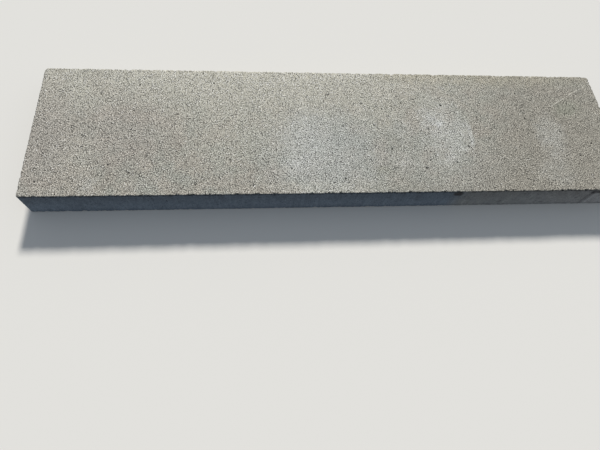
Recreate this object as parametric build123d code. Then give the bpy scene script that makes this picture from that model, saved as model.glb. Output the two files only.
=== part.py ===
"""A long concrete paving slab, cast as one solid block.

Millimetres. The origin is the middle of the face it lies on, +X runs along the length,
+Y across the width and +Z up through the thickness to the walking face.
"""

import os

from build123d import *

# The block as it leaves its mould
length = 2000.0
width = 500.0
thickness = 100.0

# How far the concrete is rounded off where two faces meet
upright_corner_radius = 3.0
walking_arris_radius = 2.0
bedding_arris_radius = 1.5


def paving_slab():
    """The rectangular block, with its upright corners and then its two flat rims rounded."""
    block = Box(length, width, thickness, align=(Align.CENTER, Align.CENTER, Align.MIN))
    block = fillet(block.edges().filter_by(Axis.Z), upright_corner_radius)
    block = fillet(block.edges().group_by(Axis.Z)[-1], walking_arris_radius)
    block = fillet(block.edges().group_by(Axis.Z)[0], bedding_arris_radius)
    return block


os.makedirs("parts", exist_ok=True)
export_step(paving_slab(), "parts/paving_slab.step")
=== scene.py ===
"""A long concrete paving slab lying on a pale floor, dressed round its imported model.

Metres, in the model's own frame: +X along the slab, +Y across it, +Z up, and the origin in the middle of
its bedding face.
"""

import math
import random

import bmesh
import bpy
from mathutils import Matrix, Vector, kdtree, noise


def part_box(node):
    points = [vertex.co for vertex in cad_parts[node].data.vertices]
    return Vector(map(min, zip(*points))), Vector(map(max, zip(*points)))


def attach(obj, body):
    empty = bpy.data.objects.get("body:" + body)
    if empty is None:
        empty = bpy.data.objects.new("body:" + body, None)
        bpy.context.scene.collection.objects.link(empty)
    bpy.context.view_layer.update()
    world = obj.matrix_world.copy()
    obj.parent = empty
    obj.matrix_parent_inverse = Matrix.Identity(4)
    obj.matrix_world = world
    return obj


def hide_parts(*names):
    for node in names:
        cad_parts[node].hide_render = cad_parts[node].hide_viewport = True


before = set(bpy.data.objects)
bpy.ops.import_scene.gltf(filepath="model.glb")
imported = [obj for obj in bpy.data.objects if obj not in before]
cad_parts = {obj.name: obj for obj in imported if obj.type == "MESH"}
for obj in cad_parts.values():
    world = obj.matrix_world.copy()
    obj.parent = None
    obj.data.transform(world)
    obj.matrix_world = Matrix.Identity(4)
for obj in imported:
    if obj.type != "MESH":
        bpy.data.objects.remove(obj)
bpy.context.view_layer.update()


# The paving slab. It is one block of earth-dry concrete, pressed in a steel mould and pushed out while
# still green. That leaves an open, gritty walking face, denser sides with the mould's faint upright
# streaks, and sharp arrises that crumble a little. It lies loose on its bedding face.
slab_low, slab_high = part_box("paving_slab")
slab_size = slab_high - slab_low
slab_middle = (slab_low + slab_high) / 2
chance = random.Random(2000)


def insets(point):
    """How far a point is from the nearest end, the nearest long side and the nearest flat face."""
    return [min(point[i] - slab_low[i], slab_high[i] - point[i]) for i in range(3)]


def arris_distance(point):
    """How far a point of the block's surface is from the nearest arris."""
    return sorted(insets(point))[1]


def facing(point):
    """Which face a point of the plain block is on: walking, bedding or side."""
    end, side, flat = insets(point)
    if flat < min(end, side):
        return "walking" if point.z > slab_middle.z else "bedding"
    return "side"


# Pits where a grain has come out or air was trapped, on the walking face and on the sides
pit_margin = 0.024
pit_depth_shares = (0.5, 0.9)


def on_walking_face():
    """A random place on the walking face."""
    x = chance.uniform(slab_low.x + pit_margin, slab_high.x - pit_margin)
    y = chance.uniform(slab_low.y + pit_margin, slab_high.y - pit_margin)
    return Vector((x, y, slab_high.z))


def on_sides():
    """A random place on the long sides, or now and then on an end."""
    z = chance.uniform(slab_low.z + pit_margin, slab_high.z - pit_margin)
    if chance.random() < slab_size.x / (slab_size.x + slab_size.y):
        x = chance.uniform(slab_low.x + pit_margin, slab_high.x - pit_margin)
        return Vector((x, chance.choice((slab_low.y, slab_high.y)), z))
    y = chance.uniform(slab_low.y + pit_margin, slab_high.y - pit_margin)
    return Vector((chance.choice((slab_low.x, slab_high.x)), y, z))


def pits(count, radii, somewhere):
    """A number of pits: each is its middle, its radius and its depth."""
    made = []
    for _ in range(count):
        radius = chance.uniform(*radii)
        made.append((somewhere(), radius, radius * chance.uniform(*pit_depth_shares)))
    return made


def search_tree(places):
    """A tree that finds which of the places are near a point."""
    tree = kdtree.KDTree(len(places))
    for index, place in enumerate(places):
        tree.insert(place, index)
    tree.balance()
    return tree


all_pits = (pits(90, radii=(0.0018, 0.0042), somewhere=on_walking_face)
            + pits(46, radii=(0.0014, 0.0032), somewhere=on_sides))
pit_tree = search_tree([pit[0] for pit in all_pits])


def near_pit(point, band):
    """Whether a pit's middle is nearer to a point than the band is wide."""
    return pit_tree.find(point)[2] < band


# The block starts as coarse cells, which are halved where the surface needs finer ones
coarse_cell = 0.020
arris_band, fine_arris_band = 0.015, 0.008
pit_band, fine_pit_band = 0.012, 0.007

block = bmesh.new()
bmesh.ops.create_cube(block, size=1.0)
bmesh.ops.scale(block, vec=slab_size, verts=block.verts)
bmesh.ops.translate(block, vec=slab_middle, verts=block.verts)
arrises = [(edge.verts[0].co.copy(), edge.verts[1].co.copy()) for edge in block.edges]
for axis in range(3):
    long_edges = [
        edge for edge in block.edges
        if abs(edge.verts[0].co[axis] - edge.verts[1].co[axis]) > coarse_cell
    ]
    cell_count = round(slab_size[axis] / coarse_cell)
    bmesh.ops.subdivide_edges(block, edges=long_edges, cuts=cell_count - 1, use_grid_fill=True)


def halve_cells(wanted):
    """Splits in four each cell of the block whose middle is wanted."""
    cells_to_split = [face for face in block.faces if wanted(face.calc_center_median())]
    bmesh.ops.subdivide_edges(
        block,
        edges=list(dict.fromkeys(edge for face in cells_to_split for edge in face.edges)),
        cuts=1,
        use_grid_fill=True,
        use_single_edge=True,
        quad_corner_type="INNER_VERT",
    )


halve_cells(lambda p: facing(p) != "bedding" or arris_distance(p) < arris_band)
halve_cells(lambda p: facing(p) == "walking" or arris_distance(p) < arris_band or near_pit(p, pit_band))
halve_cells(lambda p: arris_distance(p) < fine_arris_band or near_pit(p, fine_pit_band))


def smooth_step(value, low, high):
    """Eases from 0 to 1 as a value goes from low to high."""
    share = min(max((value - low) / (high - low), 0.0), 1.0)
    return share * share * (3 - 2 * share)


# The arrises are worn round, more in some places than in others and most at the corners
arris_radius = 0.0011
crumble_depth, crumble_length = 0.0022, 0.009
crumble_start, crumble_lift = Vector((3.1, 0, 0)), 0.1
corner_break, corner_reach = 0.006, 0.014


def arris_rounding(point):
    """The radius that the block's arris is worn to at a point."""
    crumble = noise.noise(point / crumble_length + crumble_start)
    corner = max(insets(point)[:2])
    return (arris_radius + crumble_depth * max(crumble + crumble_lift, 0.0)
            + corner_break * (1 - smooth_step(corner, 0.0, corner_reach)))


# Bits have broken out of every arris and left scoops, from small ones side by side to a few large ones
largest_scoop = 0.013
nearly_nothing = 1e-6


def straight_out(offset):
    """The direction halfway between the faces of an arris that is so far from the block's middle."""
    signs = [math.copysign(1.0, part) if abs(part) > nearly_nothing else 0.0 for part in offset]
    return Vector(signs).normalized()


def scoops(spacing, radii, depth_shares):
    """Balls sunk in every arris, by a share of their radius: each is its middle and its radius."""
    made = []
    for start, end in arrises:
        outward = straight_out((start + end) / 2 - slab_middle)
        for _ in range(round((end - start).length / spacing)):
            radius = chance.uniform(*radii)
            depth = radius * chance.uniform(*depth_shares)
            made.append((start.lerp(end, chance.random()) + outward * (radius - depth), radius))
    return made


all_scoops = (scoops(0.012, radii=(0.0028, 0.0050), depth_shares=(0.35, 0.60))
              + scoops(0.028, radii=(0.0040, 0.0068), depth_shares=(0.50, 0.74))
              + scoops(0.400, radii=(0.0080, largest_scoop), depth_shares=(0.40, 0.50)))
scoop_tree = search_tree([scoop[0] for scoop in all_scoops])

# How deep each face is hollowed between the grains that stand at its level, and how far it sways
relief_depths = {"walking": 0.00080, "side": 0.00022, "bedding": 0.00016}
grain_spacing, grain_lift = 0.0065, 0.12
fine_grain_spacing, fine_grain_share = grain_spacing * 0.47, 0.6
sway_depth, sway_length = 0.0004, 0.11
pit_floor_share, pit_rim_share = 0.35, 1.25


def hollow(point):
    """How far the surface at a point of the plain block lies under its level."""
    grain = noise.noise(point / grain_spacing)
    grain += fine_grain_share * noise.noise(point / fine_grain_spacing)
    sway = max(noise.noise(point / sway_length), 0.0)
    depth = relief_depths[facing(point)] * max(grain + grain_lift, 0.0) + sway_depth * sway
    _, index, distance = pit_tree.find(point)
    radius, deepest = all_pits[index][1:]
    in_pit = 1 - smooth_step(distance, radius * pit_floor_share, radius * pit_rim_share)
    return depth + deepest * in_pit


# The map lays the faces out flat for a texture: the long ones cut in two, the bedding face at half size
map_size = 1.44
map_gap = 0.006
half_slab, width, height = slab_size.x / 2, slab_size.y, slab_size.z
rows = {
    "walking": 0.0,
    "front": 2 * (width + map_gap),
    "back": 2 * (width + map_gap) + 2 * (height + map_gap),
}


def map_place(point, middle, outward):
    """Where on the map, in metres, a point of a face is, by the face's middle and outward direction."""
    half = 0 if middle.x < slab_middle.x else 1
    along = point.x - slab_low.x - half * half_slab
    across = point.y - slab_low.y
    up = point.z - slab_low.z
    column = half_slab + map_gap
    if outward.z > 0.5:
        return along, rows["walking"] + half * (width + map_gap) + across
    if outward.y < -0.5:
        return along, rows["front"] + half * (height + map_gap) + up
    if outward.y > 0.5:
        return half_slab - along, rows["back"] + half * (height + map_gap) + up
    if outward.z < -0.5:
        return column + across / 2, (point.x - slab_low.x) / 2
    from_corner = across if outward.x < 0 else width - across
    return column + width / 2 + map_gap + up, half * (width + map_gap) + from_corner


def lay_out_map():
    """Gives the block's faces their places on the map, while they are still flat."""
    layer = block.loops.layers.uv.new("OFBake")
    for face in block.faces:
        face.normal_update()
        middle = face.calc_center_median()
        for loop in face.loops:
            place = map_place(loop.vert.co, middle, face.normal)
            loop[layer].uv = [(part + map_gap / 2) / map_size for part in place]


# Each corner of the mesh moves in to the worn surface. It keeps how hollow and how broken it is there,
# for the finish
hollow_layer = block.verts.layers.float.new("hollow")
broken_layer = block.verts.layers.float.new("broken")
bmesh.ops.triangulate(block, faces=block.faces, quad_method="BEAUTY", ngon_method="BEAUTY")
lay_out_map()
flat_normals = {face: face.normal.copy() for face in block.faces}
moved = []
for vertex in block.verts:
    point = vertex.co.copy()
    rounding = arris_rounding(point)
    core = Vector([min(max(point[i], slab_low[i] + rounding), slab_high[i] - rounding) for i in range(3)])
    depth = hollow(point)
    worn = core + (point - core).normalized() * (rounding - depth)
    broken = worn.copy()
    for scoop_middle, index, _ in scoop_tree.find_range(point, largest_scoop):
        radius = all_scoops[index][1]
        if (broken - scoop_middle).length < radius:
            broken = scoop_middle + (broken - scoop_middle).normalized() * radius
    moved.append(broken)
    vertex[hollow_layer] = depth
    vertex[broken_layer] = (broken - worn).length
for vertex, place in zip(block.verts, moved):
    vertex.co = place

# Where scoops overlap, the few faces that lean too far over are eased out
easing_rounds = 6
least_upright = 0.15
for _ in range(easing_rounds):
    block.normal_update()
    leaning = [face for face in block.faces if face.normal.dot(flat_normals[face]) < least_upright]
    bmesh.ops.smooth_vert(
        block,
        verts=list(dict.fromkeys(vertex for face in leaning for vertex in face.verts)),
        factor=0.5,
        use_axis_x=True,
        use_axis_y=True,
        use_axis_z=True,
    )
bmesh.ops.recalc_face_normals(block, faces=block.faces)
for face in block.faces:
    face.smooth = True


def mesh_from(shape, name):
    """Turns a finished bmesh into a mesh."""
    made = bpy.data.meshes.new(name)
    shape.to_mesh(made)
    shape.free()
    return made


def put_in_scene(name, data):
    """Makes an object of a mesh, lamp or camera and links it to the scene."""
    made = bpy.data.objects.new(name, data)
    bpy.context.collection.objects.link(made)
    return made


slab_mesh = mesh_from(block, "pressed_concrete_slab")
slab = put_in_scene("pressed_concrete_slab", slab_mesh)


def cleared_nodes(owner):
    """The shader nodes and links of a material or a world, cleared, for add to fill."""
    owner.use_nodes = True
    owner.node_tree.nodes.clear()
    return owner.node_tree.nodes, owner.node_tree.links


# The concrete itself: grey-buff cement and sand
concrete = bpy.data.materials.new("pressed_concrete")
nodes, links = cleared_nodes(concrete)


def add(kind, inputs=None, **settings):
    """One shader node, with its settings and with a number or another node's socket for each input."""
    made = nodes.new(kind)
    for name, value in settings.items():
        setattr(made, name, value)
    for name, value in (inputs or {}).items():
        if isinstance(value, bpy.types.NodeSocket):
            links.new(value, made.inputs[name])
        else:
            made.inputs[name].default_value = value
    return made


def calc(operation, first, second=0.0, third=0.0):
    """One step of arithmetic on numbers or sockets."""
    return add("ShaderNodeMath", {0: first, 1: second, 2: third}, operation=operation).outputs[0]


def times(first, *others):
    """The product of numbers or sockets."""
    for other in others:
        first = calc("MULTIPLY", first, other)
    return first


def spread(value, low, high, least=0.0, most=1.0):
    """Eases from least to most as a value goes from low to high, and holds it there outside."""
    inputs = {"Value": value, "From Min": low, "From Max": high, "To Min": least, "To Max": most}
    return add("ShaderNodeMapRange", inputs, interpolation_type="SMOOTHSTEP").outputs[0]


def swing(patches, amount, about=1.0):
    """A factor that swings about a value as a noise swings about 0.5."""
    return calc("MULTIPLY_ADD", calc("SUBTRACT", patches, 0.5), amount, about)


def dimmed(where, amount):
    """A factor of 1 that drops by an amount where the share of something is 1."""
    return calc("MULTIPLY_ADD", where, -amount, 1.0)


def blend(share, first, second):
    """A number that goes from the first to the second as the share goes from 0 to 1."""
    mixed = add("ShaderNodeMix", {"Factor": share, "A": first, "B": second}, data_type="FLOAT")
    return mixed.outputs["Result"]


def mottle(places, size, detail=2.0, roughness=0.5):
    """Soft noise about 0.5, with blotches about as large as size."""
    inputs = {"Vector": places, "Scale": 1 / size, "Detail": detail, "Roughness": roughness}
    return add("ShaderNodeTexNoise", inputs).outputs["Fac"]


def cells(places, size, **settings):
    """Cells about as large as size: the distance from a cell's middle, and three lots drawn for each cell."""
    outputs = add("ShaderNodeTexVoronoi", {"Vector": places, "Scale": 1 / size}, **settings).outputs
    return outputs["Distance"], add("ShaderNodeSeparateColor", {0: outputs["Color"]}).outputs


def linear(*colour):
    """A colour as read from a picture, 0 to 255, as the shader's own numbers."""
    made = []
    for part in colour:
        part = part / 255
        made.append(part / 12.92 if part <= 0.04045 else ((part + 0.055) / 1.055) ** 2.4)
    return made + [1.0]


def tint(share, colour, other):
    """Blends a colour with another by a share."""
    mixed = add("ShaderNodeMix", data_type="RGBA")
    for name, value in (("Factor_Float", share), ("A_Color", colour), ("B_Color", other)):
        socket = next(s for s in mixed.inputs if s.identifier == name)
        if isinstance(value, bpy.types.NodeSocket):
            links.new(value, socket)
        else:
            socket.default_value = value
    return next(s for s in mixed.outputs if s.identifier == "Result_Color")


def ragged(places, size, amount, detail=0.0):
    """Places pushed about by a noise, so that whatever is drawn on them gets a ragged outline."""
    inputs = {"Vector": places, "Scale": 1 / size, "Detail": detail}
    push = add("ShaderNodeTexNoise", inputs).outputs["Color"]
    push = add("ShaderNodeVectorMath", {0: push, 1: (0.5, 0.5, 0.5)}, operation="SUBTRACT").outputs[0]
    push = add("ShaderNodeVectorMath", {0: push, "Scale": amount}, operation="SCALE").outputs[0]
    return add("ShaderNodeVectorMath", {0: places, 1: push}, operation="ADD").outputs[0]


object_places = add("ShaderNodeTexCoord").outputs["Object"]
x, y, z = add("ShaderNodeSeparateXYZ", {0: object_places}).outputs
hollow_here = add("ShaderNodeAttribute", attribute_name="hollow").outputs["Fac"]
broken_here = add("ShaderNodeAttribute", attribute_name="broken").outputs["Fac"]

# Which face: 1 on the walking face, 0 on the sides and on the bedding face
face_change = 0.0015
below_top = calc("SUBTRACT", slab_high.z, z)
from_side = calc("MINIMUM",
                 calc("SUBTRACT", slab_size.x / 2, calc("ABSOLUTE", x)),
                 calc("SUBTRACT", slab_size.y / 2, calc("ABSOLUTE", y)))
on_top = times(spread(calc("SUBTRACT", from_side, below_top), -face_change, face_change),
               spread(below_top, slab_size.z * 0.6, slab_size.z * 0.4))

# Grit of the walking face: broken grains standing out of darker cement, each with its own tone. The cement's
# darkness is partly painted shade in the gaps: the lighter a grain is, the darker the gap round it, so that
# the two together keep the face's tone. A few grains have come out and left a hole, darkened with painted
# shade, and a few are nearly white
grit_size, grit_height = 0.0040, 0.0008
dome_rim, dome_top, dome_mean = 0.62, 0.15, 0.45
least_grit_tone, grit_tone_range = 0.64, 2.02
white_grit_tone, gone_grit_tone = 1.3, 0.30
grit_level, least_grit_shade, grit_hole_painted_shade = 1.175, 0.04, 0.92
swayed_places = ragged(object_places, size=0.022, amount=0.006)
ragged_places = ragged(swayed_places, size=0.0026, amount=0.0028, detail=2.0)
grit_distance, grit_lots = cells(ragged_places, grit_size, voronoi_dimensions="2D")
grit_dome = spread(grit_distance, dome_rim, dome_top)
grit_gone = spread(grit_lots[1], 0.060, 0.050)
grit_white = spread(grit_lots[2], 0.965, 0.975)
grit_tone = calc("MULTIPLY_ADD", times(grit_lots[0], grit_lots[0]), grit_tone_range, least_grit_tone)
grit_tone = calc("MULTIPLY_ADD", grit_white, white_grit_tone, grit_tone)
grit_tone = blend(grit_gone, grit_tone, gone_grit_tone)
grit_shade = calc("MULTIPLY_ADD", calc("SUBTRACT", grit_dome, dome_mean), grit_tone, grit_level)
grit_shade = calc("MAXIMUM", grit_shade, least_grit_shade)
painted_shade_in_grit_holes = dimmed(times(grit_gone, grit_dome), grit_hole_painted_shade)

# Coarse sand between the grit and on it, some grains of it pale and some gone, then finer sand and dust
grain_size, grain_height = 0.0023, 0.0002
least_grain_tone, grain_tone_range = 0.80, 0.7
# The cement between the sand grains, and the holes of gone ones, are darker: partly painted shade
pale_grain_tone, gone_grain_painted_shade, cement_tone_and_gap_shade = 0.60, -0.65, 0.85
sand_size, sand_height, dust_size = 0.0034, 0.0005, 0.0011
grain_distance, grain_lots = cells(ragged_places, grain_size)
grain_dome = spread(grain_distance, 0.72, 0.30)
grain_pale = spread(grain_lots[1], 0.90, 0.92)
grain_gone = spread(grain_lots[2], 0.17, 0.15)
grain_tone = calc("MULTIPLY_ADD", grain_lots[0], grain_tone_range, least_grain_tone)
grain_tone = calc("MULTIPLY_ADD", grain_pale, pale_grain_tone, grain_tone)
grain_tone = calc("MULTIPLY_ADD", grain_gone, gone_grain_painted_shade, grain_tone)
grain_shade = blend(grain_dome, cement_tone_and_gap_shade, grain_tone)
sand = mottle(object_places, sand_size, detail=2.0, roughness=0.6)
dust = mottle(object_places, dust_size, detail=1.0)
sandy = swing(sand, 0.25, about=swing(dust, 0.5))
uneven = mottle(object_places, 0.026, detail=4.0, roughness=0.65)
top_shade = times(grit_shade, painted_shade_in_grit_holes, grain_shade, swing(uneven, 0.50))
top_relief = times(grit_dome, grit_height, dimmed(grit_gone, 1.8))
top_relief = calc("MULTIPLY_ADD", grain_dome, grain_height, top_relief)

# The sides: a skin of cement that the mould has smoothed, in faint upright streaks, with the ends of some
# grains showing through it. The sides are lighter low down, which is painted bounce light from the floor, and
# darker at the foot
side_grit_size, side_grit_height = 0.0055, 0.0002
least_side_tone, side_tone_range = 0.70, 0.50
streak_width, streak_height = 0.008, 0.0004
streak_scale = (1.0, 1.0, 0.12)
side_distance, side_lots = cells(ragged_places, side_grit_size)
side_dome = times(spread(side_distance, 0.52, 0.30), spread(side_lots[2], 0.35, 0.45))
side_tone = calc("MULTIPLY_ADD", side_lots[0], side_tone_range, least_side_tone)
side_fine = swing(mottle(object_places, 0.0030, detail=3.0, roughness=0.75), 1.3)
# Painted shade where a grain has gone from the skin
side_fine = times(side_fine, dimmed(times(grain_gone, grain_dome), 0.5))
streak_places = add("ShaderNodeMapping", {"Vector": object_places, "Scale": streak_scale}).outputs[0]
streaks = mottle(streak_places, streak_width, detail=3.0, roughness=0.6)
blotches = mottle(object_places, 0.020, detail=3.0, roughness=0.6)
side_shade = times(blend(side_dome, 1.0, side_tone), side_fine)
side_shade = times(side_shade, swing(streaks, 0.60), swing(blotches, 0.60))
# Painted bounce light: lighter low down; darker at the foot
side_shade = times(side_shade, spread(below_top, 0.012, 0.075, least=0.90, most=1.25))
side_shade = times(side_shade, spread(below_top, 0.078, 0.098, least=1.0, most=0.84))
side_relief = calc("MULTIPLY_ADD", side_dome, side_grit_height, times(streaks, streak_height))

# Pores: small holes between the grains, darkened with painted shade, in two fifths of the places where one
# could be, and in fewer and fainter on the sides
pore_spacing, pore_depth = 0.011, 0.0012
top_pore_share, side_pore_share = 0.42, 0.18
pore_distance, pore_lots = cells(object_places, pore_spacing)
least_pore_lot = blend(on_top, 1 - side_pore_share, 1 - top_pore_share)
pore_here = calc("GREATER_THAN", pore_lots[1], least_pore_lot)
pore = times(spread(pore_distance, 0.18, 0.11), pore_here)

# Broad tones of the walking face: hands of warmer and greener cement
mottled = mottle(object_places, 0.075, detail=3.0, roughness=0.55)
tone = tint(spread(mottled, 0.34, 0.66), linear(153, 153.5, 145), linear(159, 155, 145.5))

stain_places = ragged(object_places, size=0.06, amount=0.07, detail=3.0)
endless = 1e3


def blotch(places, middle, half_size, strength, rim, core, bearing=0.0):
    """A spot that rises from nothing at its rim to full at its core, both as shares of its half size."""
    mapped = add("ShaderNodeMapping", {
        "Vector": places,
        "Location": middle,
        "Rotation": (0.0, 0.0, bearing),
        "Scale": half_size,
    }, vector_type="TEXTURE").outputs[0]
    reach = add("ShaderNodeVectorMath", {0: mapped}, operation="LENGTH").outputs["Value"]
    return spread(reach, rim, core, least=0.0, most=strength)


def stain(along, across, half_length, half_width, strength, drawn_on=stain_places):
    """A soft stain of the walking face, its middle so far from the left end and from the front side."""
    middle = (slab_low.x + along, slab_low.y + across, 0.0)
    return blotch(drawn_on, middle, (half_length, half_width, endless), strength, rim=1.3, core=0.3)


stains = {
    "bleached": (linear(184, 182, 170), [
        (0.72, 0.56, 0.85, 0.30, 0.95),
        (0.07, 0.41, 0.14, 0.16, 0.38),
        (0.147, 0.157, 0.07, 0.08, 0.40),
        (0.62, 0.20, 0.14, 0.12, 0.30),
        (0.90, 0.30, 0.14, 0.08, 0.20),
        (1.12, 0.30, 0.10, 0.10, 0.25),
        (1.97, 0.20, 0.11, 0.18, 0.30),
    ]),
    "pale": (linear(204, 200, 184), [
        (0.70, 0.50, 0.40, 0.035, 0.42),
        (1.28, 0.50, 0.16, 0.030, 0.36),
        (0.95, 0.02, 0.18, 0.030, 0.26),
        (0.80, 0.20, 0.09, 0.110, 0.14),
    ]),
    "worn": (linear(143, 139.5, 130), [
        (1.82, 0.20, 0.34, 0.38, 0.88),
        (0.27, 0.10, 0.09, 0.14, 0.15),
        (1.10, 0.08, 0.16, 0.08, 0.15),
        (1.54, 0.08, 0.13, 0.11, 0.75),
        (1.53, 0.02, 0.38, 0.08, 0.56),
        (1.72, 0.00, 0.42, 0.03, 0.50),
        (1.75, 0.13, 0.09, 0.09, 0.30),
    ]),
    "cool": (linear(169, 173, 170), [
        (0.94, 0.15, 0.22, 0.20, 0.55),
        (1.36, 0.10, 0.22, 0.12, 0.18),
    ]),
    "rosy": (linear(158, 152, 145), [
        (0.00, 0.20, 0.16, 0.26, 0.60),
        (0.28, 0.24, 0.16, 0.16, 0.45),
    ]),
    "sandy": (linear(163, 158, 141), [
        (1.62, 0.53, 0.48, 0.09, 0.60),
        (1.28, 0.52, 0.16, 0.07, 0.45),
    ]),
}
for colour, places in stains.values():
    for place in places:
        tone = tint(stain(*place), tone, colour)

# Lime that has bloomed on it in places, with paler, crisper rims round the plainest bloom
blooms = [
    (1.362, 0.250, 0.090, 0.140, 0.47),
    (1.347, 0.285, 0.045, 0.035, 0.25),
    (1.377, 0.130, 0.035, 0.030, 0.26),
    (1.440, 0.250, 0.024, 0.070, 0.20),
    (0.880, 0.190, 0.090, 0.140, 0.40),
    (0.845, 0.105, 0.045, 0.035, 0.35),
    (0.995, 0.090, 0.030, 0.030, 0.25),
    (1.205, 0.120, 0.035, 0.040, 0.22),
    (0.190, 0.040, 0.030, 0.045, 0.20),
    (0.360, 0.035, 0.060, 0.030, 0.10),
    (1.760, 0.215, 0.060, 0.110, 0.30),
    (1.740, 0.070, 0.070, 0.070, 0.16),
    (1.225, 0.250, 0.050, 0.070, 0.22),
]
rims = [
    (1.462, 0.232, 0.010, 0.055, 0.48),
    (1.460, 0.192, 0.012, 0.018, 0.28),
    (1.427, 0.172, 0.030, 0.017, 0.34),
    (1.352, 0.272, 0.018, 0.016, 0.28),
    (1.398, 0.352, 0.040, 0.013, 0.18),
    (1.296, 0.333, 0.028, 0.010, 0.20),
]
rim_places = ragged(object_places, size=0.025, amount=0.012, detail=3.0)
bloom = 0.0
for place in blooms:
    bloom = calc("ADD", bloom, stain(*place))
for place in rims:
    bloom = calc("ADD", bloom, stain(*place, drawn_on=rim_places))
cloudy = mottle(object_places, 0.030, detail=4.0, roughness=0.65)
bloom = times(bloom, spread(cloudy, 0.30, 0.62, least=0.55, most=1.15))
tone = tint(bloom, tone, linear(188, 190, 185))

# A few dull damp spots
damp_spots = [(1.865, 0.345, 0.060, 0.050, 0.75), (1.122, 0.082, 0.030, 0.018, 0.45)]
for place in damp_spots:
    tone = tint(stain(*place), tone, linear(138, 139, 127))

# A thin pale scratch near its right end, which fades out towards the corner, and a short one beside it
scratches = [
    ((1.795, 0.350), (1.880, 0.401), 0.62),
    ((1.872, 0.396), (1.985, 0.462), 0.36),
    ((1.735, 0.352), (1.760, 0.372), 0.45),
]
scratch_half_width = 0.0026
for start, end, strength in scratches:
    start, end = Vector(start), Vector(end)
    scratched = blotch(
        ragged(object_places, size=0.02, amount=0.004),
        (slab_low.x + (start.x + end.x) / 2, slab_low.y + (start.y + end.y) / 2, 0.0),
        ((end - start).length / 2, scratch_half_width, endless),
        strength,
        rim=1.1,
        core=0.6,
        bearing=math.atan2(end.y - start.y, end.x - start.x),
    )
    tone = tint(scratched, tone, linear(198, 195, 184))

# The sides are a little darker, in clouds
clouds = mottle(object_places, 0.07, detail=3.0)
side_colour = tint(spread(clouds, 0.34, 0.66), linear(143, 145, 144), linear(153, 154, 151))

# Only on the front side: painted shade makes its left part darker and bluish, and painted bounce light makes
# its right end lighter. It has a dark patch under the arris, dark specks, and a pale upright stripe, with
# painted bounce light beyond it
front = spread(y, slab_low.y + 0.010, slab_low.y + 0.004)
side_places = ragged(object_places, size=0.025, amount=0.012, detail=2.0)
side_x = add("ShaderNodeSeparateXYZ", {0: side_places}).outputs[0]
from_left = calc("SUBTRACT", side_x, slab_low.x)
# Painted shade: the left part darker and bluish
painted_shade_left_part = times(spread(from_left, 1.42, 1.34), front)
side_colour = tint(painted_shade_left_part, side_colour, linear(124, 135, 146))
# Painted bounce light: the right end lighter
painted_light_right_end = times(spread(from_left, 1.50, 1.95), front)
side_colour = tint(painted_light_right_end, side_colour, linear(160, 159, 157))
# Painted bounce light: lighter beyond the pale stripe
painted_light_beyond_stripe = times(spread(from_left, 1.866, 1.876), front)
side_colour = tint(times(painted_light_beyond_stripe, 0.75), side_colour, linear(176, 175, 173))

# Its dark marks: how far each is along and up, its half width and half height, and its strength
marks = [
    (1.374, 0.085, 0.018, 0.016, 0.95),
    (1.856, 0.048, 0.008, 0.060, 0.45),
    (1.868, 0.086, 0.026, 0.010, 0.60),
    (1.920, 0.088, 0.050, 0.010, 0.70),
    (1.818, 0.048, 0.008, 0.005, 0.55),
    (1.705, 0.022, 0.010, 0.006, 0.35),
    (1.240, 0.060, 0.012, 0.020, 0.25),
    (1.545, 0.030, 0.014, 0.008, 0.25),
]
marked = 0.0
for along, up, half_width, half_height, strength in marks:
    middle = (slab_low.x + along, 0.0, slab_low.z + up)
    mark = blotch(side_places, middle, (half_width, endless, half_height), strength, rim=1.2, core=0.6)
    marked = calc("ADD", marked, mark)
side_colour = tint(times(marked, front), side_colour, linear(72, 72, 73))
# A pale upright stripe near the right end
stripe_left, stripe_right, stripe_edge = 1.868, 1.881, 0.005
pale_stripe = times(spread(from_left, stripe_left, stripe_left + stripe_edge),
                spread(from_left, stripe_right, stripe_right - stripe_edge),
                front,
                spread(below_top, 0.018, 0.028, most=0.7))
side_colour = tint(pale_stripe, side_colour, linear(202, 202, 200))

# All together: pores and hollows get painted shade, and where bits have broken out the tone is uneven, mostly
# darkened with painted shade
side_pore_painted_shade, top_pore_painted_shade, hollow_painted_shade = 0.50, 0.15, 0.25
surface = tint(on_top, side_colour, tone)
shade = times(blend(on_top, side_shade, top_shade), sandy)
pore_painted_shade = blend(on_top, side_pore_painted_shade, top_pore_painted_shade)
shade = times(shade, spread(pore, 0.0, 1.0, least=1.0, most=pore_painted_shade))
shade = times(shade, spread(hollow_here, 0.0006, 0.0022, least=1.0, most=hollow_painted_shade))
fresh_break_and_painted_shade = spread(mottle(object_places, 0.0045, detail=1.0), 0.40, 0.60, least=0.25, most=1.10)
shade = times(shade, blend(spread(broken_here, 0.0002, 0.0016), 1.0, fresh_break_and_painted_shade))

# A crumbly, darker band on the sides just under the walking face
edge_noise = mottle(object_places, 0.014, detail=4.0, roughness=0.7)
edge_reach = calc("MULTIPLY_ADD", edge_noise, 0.022, -0.0035)
on_side = calc("SUBTRACT", 1.0, on_top)
dark_band_under_arris = times(spread(calc("SUBTRACT", below_top, edge_reach), 0.001, -0.002), on_side)
crumbly = spread(mottle(object_places, 0.0040), 0.38, 0.62, least=0.24, most=0.72)
shade = times(shade, blend(dark_band_under_arris, 1.0, crumbly))

# Nothing on it is lighter than the palest stone
lightest = (0.85, 0.85, 0.85)
colour = add("ShaderNodeVectorMath", {0: surface, "Scale": shade}, operation="SCALE").outputs[0]
colour = add("ShaderNodeVectorMath", {0: colour, 1: lightest}, operation="MINIMUM").outputs[0]

relief = calc("MULTIPLY_ADD", sand, sand_height, blend(on_top, side_relief, top_relief))
relief = calc("SUBTRACT", relief, times(pore, pore_depth))
bump = add("ShaderNodeBump", {"Height": relief, "Distance": 1.0, "Strength": 1.0}).outputs[0]

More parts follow.
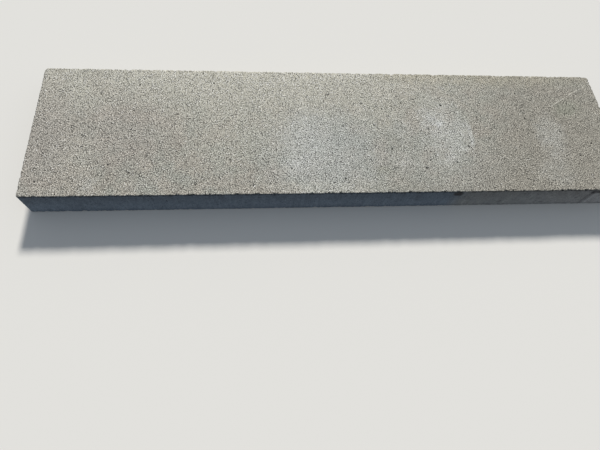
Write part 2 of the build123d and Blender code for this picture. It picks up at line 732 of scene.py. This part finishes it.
skin = add("ShaderNodeBsdfPrincipled", {
    "Base Color": colour,
    "Roughness": spread(bloom, 0.0, 1.0, least=0.88, most=0.96),
    "Specular IOR Level": 0.25,
    "Normal": bump,
})
links.new(skin.outputs[0], add("ShaderNodeOutputMaterial").inputs["Surface"])
slab_mesh.materials.append(concrete)

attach(slab, "root")
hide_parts("paving_slab")


# The floor: a plain sheet of studio floor, wide enough to run out of sight, which only takes the shadow.
# It shows pale, but throws back only as much light on the slab as a mid-grey floor.
floor_radius = 40.0
backdrop_colour = linear(226, 225, 221)
sheet = bmesh.new()
bmesh.ops.create_circle(sheet, cap_ends=True, segments=96, radius=floor_radius)
floor_mesh = mesh_from(sheet, "studio_floor")
floor = put_in_scene("studio_floor", floor_mesh)
pale = bpy.data.materials.new("pale_floor")
nodes, links = cleared_nodes(pale)


def shown(colour, lit_by):
    """A colour that is seen directly and in reflections, over the one that lights things."""
    path = add("ShaderNodeLightPath").outputs
    seen = calc("MAXIMUM", path["Is Glossy Ray"], path["Is Transmission Ray"])
    seen = calc("MAXIMUM", path["Is Camera Ray"], seen)
    return tint(seen, lit_by, colour)


floor_colour = shown(backdrop_colour, lit_by=linear(120, 120, 120))
links.new(add("ShaderNodeBsdfDiffuse", {"Color": floor_colour}).outputs[0],
          add("ShaderNodeOutputMaterial").inputs["Surface"])
floor_mesh.materials.append(pale)


# The light: one large soft lamp high behind the slab, which rakes over the grit and leaves the near side
# in shade, and an even, slightly cool room. On a level face they add up to a plain white light of
# strength 1.
key_light = bpy.data.lights.new("soft_key", "SUN")
key_light.energy = 3.9
key_light.angle = math.radians(8)
key_light.color = (1.0, 0.959, 0.904)
key = put_in_scene("soft_key", key_light)
key_height, key_bearing = math.radians(36), math.radians(85.5)
towards_key = Vector((math.cos(key_height) * math.cos(key_bearing),
                      math.cos(key_height) * math.sin(key_bearing),
                      math.sin(key_height)))
key.rotation_mode = "QUATERNION"
key.rotation_quaternion = towards_key.to_track_quat("Z", "Y")

room = bpy.data.worlds.new("room")
nodes, links = cleared_nodes(room)
room_colour = shown(backdrop_colour, lit_by=(0.27, 0.30, 0.34, 1.0))
links.new(add("ShaderNodeBackground", {"Color": room_colour, "Strength": 1.0}).outputs[0],
          add("ShaderNodeOutputWorld").inputs["Surface"])
bpy.context.scene.world = room
bpy.context.scene.view_settings.view_transform = "Standard"


# The camera: held about 1.3 m up in front of the slab's left half, looking down across it and leaning.
camera_data = bpy.data.cameras.new("camera")
camera_data.lens = 26.0
camera_data.sensor_width = 36.0
camera = put_in_scene("camera", camera_data)
camera_place = Vector((-0.2994, -0.8990, 1.2951))
look_down, look_right, lean = math.radians(64.98), math.radians(14.26), math.radians(11.83)
turn = (Matrix.Rotation(-look_right, 4, "Z")
        @ Matrix.Rotation(math.pi / 2 - look_down, 4, "X")
        @ Matrix.Rotation(lean, 4, "Z"))
camera.matrix_world = Matrix.Translation(camera_place) @ turn
bpy.context.scene.camera = camera
